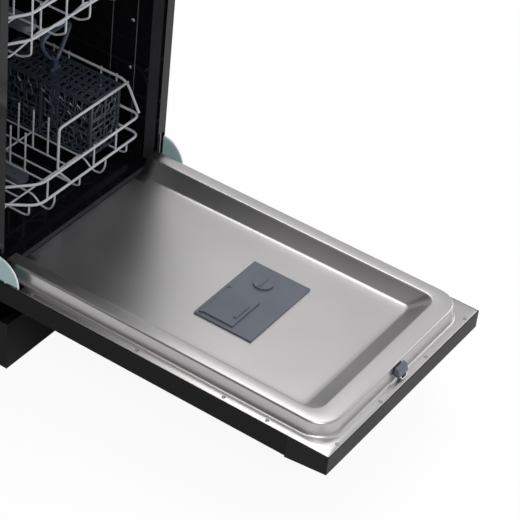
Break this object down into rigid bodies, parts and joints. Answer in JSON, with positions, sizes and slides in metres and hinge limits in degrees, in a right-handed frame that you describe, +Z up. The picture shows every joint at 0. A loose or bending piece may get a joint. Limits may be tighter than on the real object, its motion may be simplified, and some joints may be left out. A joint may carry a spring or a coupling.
{
  "type": "slimline dishwasher",
  "caption": "Free-standing slimline dishwasher with a drop-down door, two wire racks on wheels and rollers, spray arms and a lidded cutlery basket.",
  "frame": {"origin": "on the floor, midway between the sides and midway between the back of the cabinet and the end of the open door", "axes": "+X to the right for a person facing the machine, +Y into the machine, +Z up; the door opens towards -Y"},
  "size_m": [0.448, 1.197, 0.845],
  "materials": {
    "black_sheet": "satin black powder coat",
    "tub_sheet": "glossy dark",
    "liner_steel": "fine brushed",
    "back_sheet": "galvanised",
    "steel": "zinc plated",
    "black_plastic": "fine texture",
    "plinth_plastic": "gloss",
    "grey_plastic": "satin moulded",
    "pale_plastic": "satin moulded",
    "guard_plastic": "translucent",
    "rubber": "matt",
    "wire_coat": "nylon coated wire",
    "cutlery_plastic": "satin moulded",
    "handle_plastic": "satin moulded",
    "board": "laminate"
  },
  "bodies": {
    "cabinet": {"tub": "tub_sheet", "side_panel_left": "black_sheet", "side_panel_right": "black_sheet", "worktop": "black_sheet", "back_panel": "back_sheet", "base_tray": "black_plastic", "plinth": "plinth_plastic", "tub_gasket": "rubber", "lip_seal": "rubber", "sump": "grey_plastic", "filter_plate": "liner_steel", "wash_pump": "black_plastic", "drain_pump": "black_plastic", "water_tank": "pale_plastic", "softener": "pale_plastic", "inlet_valve": "pale_plastic", "drain_spigot": "black_plastic", "cord_gland": "black_plastic", "feed_pipe": "grey_plastic", "lock_catch": "grey_plastic", "hinge_brackets": "steel", "counter_springs": "steel", "foot_left": "black_plastic", "foot_right": "black_plastic", "rear_feet": "black_plastic"},
    "door": {"door_panel": "black_sheet", "door_liner": "liner_steel", "control_fascia": "black_plastic", "control_board": "board", "dispenser": "grey_plastic", "latch_bracket": "steel", "liner_screws": "steel", "hinge_guards": "guard_plastic", "hinge_arms": "steel"},
    "lower_rack": {"lower_rack": "wire_coat", "plate_tines": "wire_coat", "wheel_clips": "grey_plastic"},
    "cutlery_basket": {"cutlery_tub": "cutlery_plastic", "cutlery_lid": "cutlery_plastic", "cutlery_handle": "handle_plastic"},
    "upper_rack": {"upper_rack": "wire_coat", "upper_rails": "grey_plastic", "upper_feed": "grey_plastic"},
    "coarse_filter": {"coarse_filter": "grey_plastic"},
    "salt_cap": {"salt_cap": "grey_plastic"},
    "rollers_front": {"rollers_front": "grey_plastic"},
    "rollers_rear": {"rollers_rear": "grey_plastic"},
    "detergent_lid": {"detergent_lid": "grey_plastic"},
    "rinse_cap": {"rinse_cap": "grey_plastic"},
    "latch_hook": {"latch_hook": "grey_plastic"},
    "button_power": {"button_power": "black_plastic"},
    "button_program": {"button_program": "black_plastic"},
    "button_start": {"button_start": "black_plastic"},
    "wheels_1": {"wheels_1": "grey_plastic"},
    "wheels_2": {"wheels_2": "grey_plastic"},
    "wheels_3": {"wheels_3": "grey_plastic"},
    "wheels_4": {"wheels_4": "grey_plastic"},
    "cup_shelf": {"cup_shelf": "wire_coat"},
    "upper_spray_arm": {"upper_spray_arm": "grey_plastic"},
    "lower_spray_arm": {"lower_spray_arm": "grey_plastic"}
  },
  "joints": [
    {"name": "door_hinge", "type": "hinge", "parent": "cabinet", "child": "door", "pos_m": [0, 0.0385, 0.186], "axis": [1, 0, 0], "range_deg": [-90, 0]},
    {"name": "lower_rack_slide", "type": "slide", "parent": "cabinet", "child": "lower_rack", "axis": [0, -1, 0], "range_m": [0, 0.477]},
    {"name": "upper_rack_slide", "type": "slide", "parent": "cabinet", "child": "upper_rack", "axis": [0, -1, 0], "range_m": [0, 0.36]},
    {"name": "lower_arm_spin", "type": "hinge", "parent": "cabinet", "child": "lower_spray_arm", "pos_m": [0, 0.3085, 0.197], "axis": [0, 0, 1], "continuous": true},
    {"name": "upper_arm_spin", "type": "hinge", "parent": "upper_rack", "child": "upper_spray_arm", "pos_m": [0, 0.3035, 0.501], "axis": [0, 0, 1], "continuous": true},
    {"name": "detergent_lid_hinge", "type": "hinge", "parent": "door", "child": "detergent_lid", "pos_m": [-0.039, -0.2605, 0.1887], "axis": [1, 0, 0], "range_deg": [-100, 0]},
    {"name": "rinse_cap_twist", "type": "hinge", "parent": "door", "child": "rinse_cap", "pos_m": [0.045, -0.2965, 0.184], "axis": [0, 0, 1], "range_deg": [0, 90]},
    {"name": "latch_tilt", "type": "hinge", "parent": "door", "child": "latch_hook", "pos_m": [0, -0.5835, 0.191], "axis": [1, 0, 0], "range_deg": [0, 12], "stiffness_Nm_per_rad": 0.2},
    {"name": "salt_cap_twist", "type": "hinge", "parent": "cabinet", "child": "salt_cap", "pos_m": [-0.128, 0.4585, 0.188], "axis": [0, 0, 1], "range_deg": [0, 90]},
    {"name": "coarse_filter_twist", "type": "hinge", "parent": "cabinet", "child": "coarse_filter", "pos_m": [0, 0.3565, 0.188], "axis": [0, 0, 1], "range_deg": [0, 90]},
    {"name": "cutlery_basket_lift", "type": "slide", "parent": "lower_rack", "child": "cutlery_basket", "axis": [0, 0, 1], "range_m": [0, 0.08]},
    {"name": "cup_shelf_fold", "type": "hinge", "parent": "upper_rack", "child": "cup_shelf", "pos_m": [-0.17, 0.2785, 0.614], "axis": [0, -1, 0], "range_deg": [0, 85]},
    {"name": "button_power_press", "type": "slide", "parent": "door", "child": "button_power", "axis": [0, 0, 1], "range_m": [0, 0.0015], "stiffness_N_per_m": 300},
    {"name": "button_program_press", "type": "slide", "parent": "door", "child": "button_program", "axis": [0, 0, 1], "range_m": [0, 0.0015], "stiffness_N_per_m": 300},
    {"name": "button_start_press", "type": "slide", "parent": "door", "child": "button_start", "axis": [0, 0, 1], "range_m": [0, 0.0015], "stiffness_N_per_m": 300},
    {"name": "wheels_1_spin", "type": "hinge", "parent": "lower_rack", "child": "wheels_1", "pos_m": [0, 0.1555, 0.2283], "axis": [1, 0, 0], "range_deg": [0, 1500]},
    {"name": "wheels_2_spin", "type": "hinge", "parent": "lower_rack", "child": "wheels_2", "pos_m": [0, 0.2585, 0.2283], "axis": [1, 0, 0], "range_deg": [0, 1500]},
    {"name": "wheels_3_spin", "type": "hinge", "parent": "lower_rack", "child": "wheels_3", "pos_m": [0, 0.4125, 0.2283], "axis": [1, 0, 0], "range_deg": [0, 1500]},
    {"name": "wheels_4_spin", "type": "hinge", "parent": "lower_rack", "child": "wheels_4", "pos_m": [0, 0.5165, 0.2283], "axis": [1, 0, 0], "range_deg": [0, 1500]},
    {"name": "rollers_front_spin", "type": "hinge", "parent": "cabinet", "child": "rollers_front", "pos_m": [0, 0.0745, 0.64], "axis": [1, 0, 0], "range_deg": [0, 1900]},
    {"name": "rollers_rear_spin", "type": "hinge", "parent": "cabinet", "child": "rollers_rear", "pos_m": [0, 0.1605, 0.64], "axis": [1, 0, 0], "range_deg": [0, 1900]}
  ],
  "couplings": [
    {"joint": "wheels_1_spin", "follows": "lower_rack_slide", "rad_per_m": 54.645},
    {"joint": "wheels_2_spin", "follows": "lower_rack_slide", "rad_per_m": 54.645},
    {"joint": "wheels_3_spin", "follows": "lower_rack_slide", "rad_per_m": 54.645},
    {"joint": "wheels_4_spin", "follows": "lower_rack_slide", "rad_per_m": 54.645},
    {"joint": "rollers_front_spin", "follows": "upper_rack_slide", "rad_per_m": 88.496},
    {"joint": "rollers_rear_spin", "follows": "upper_rack_slide", "rad_per_m": 88.496}
  ]
}
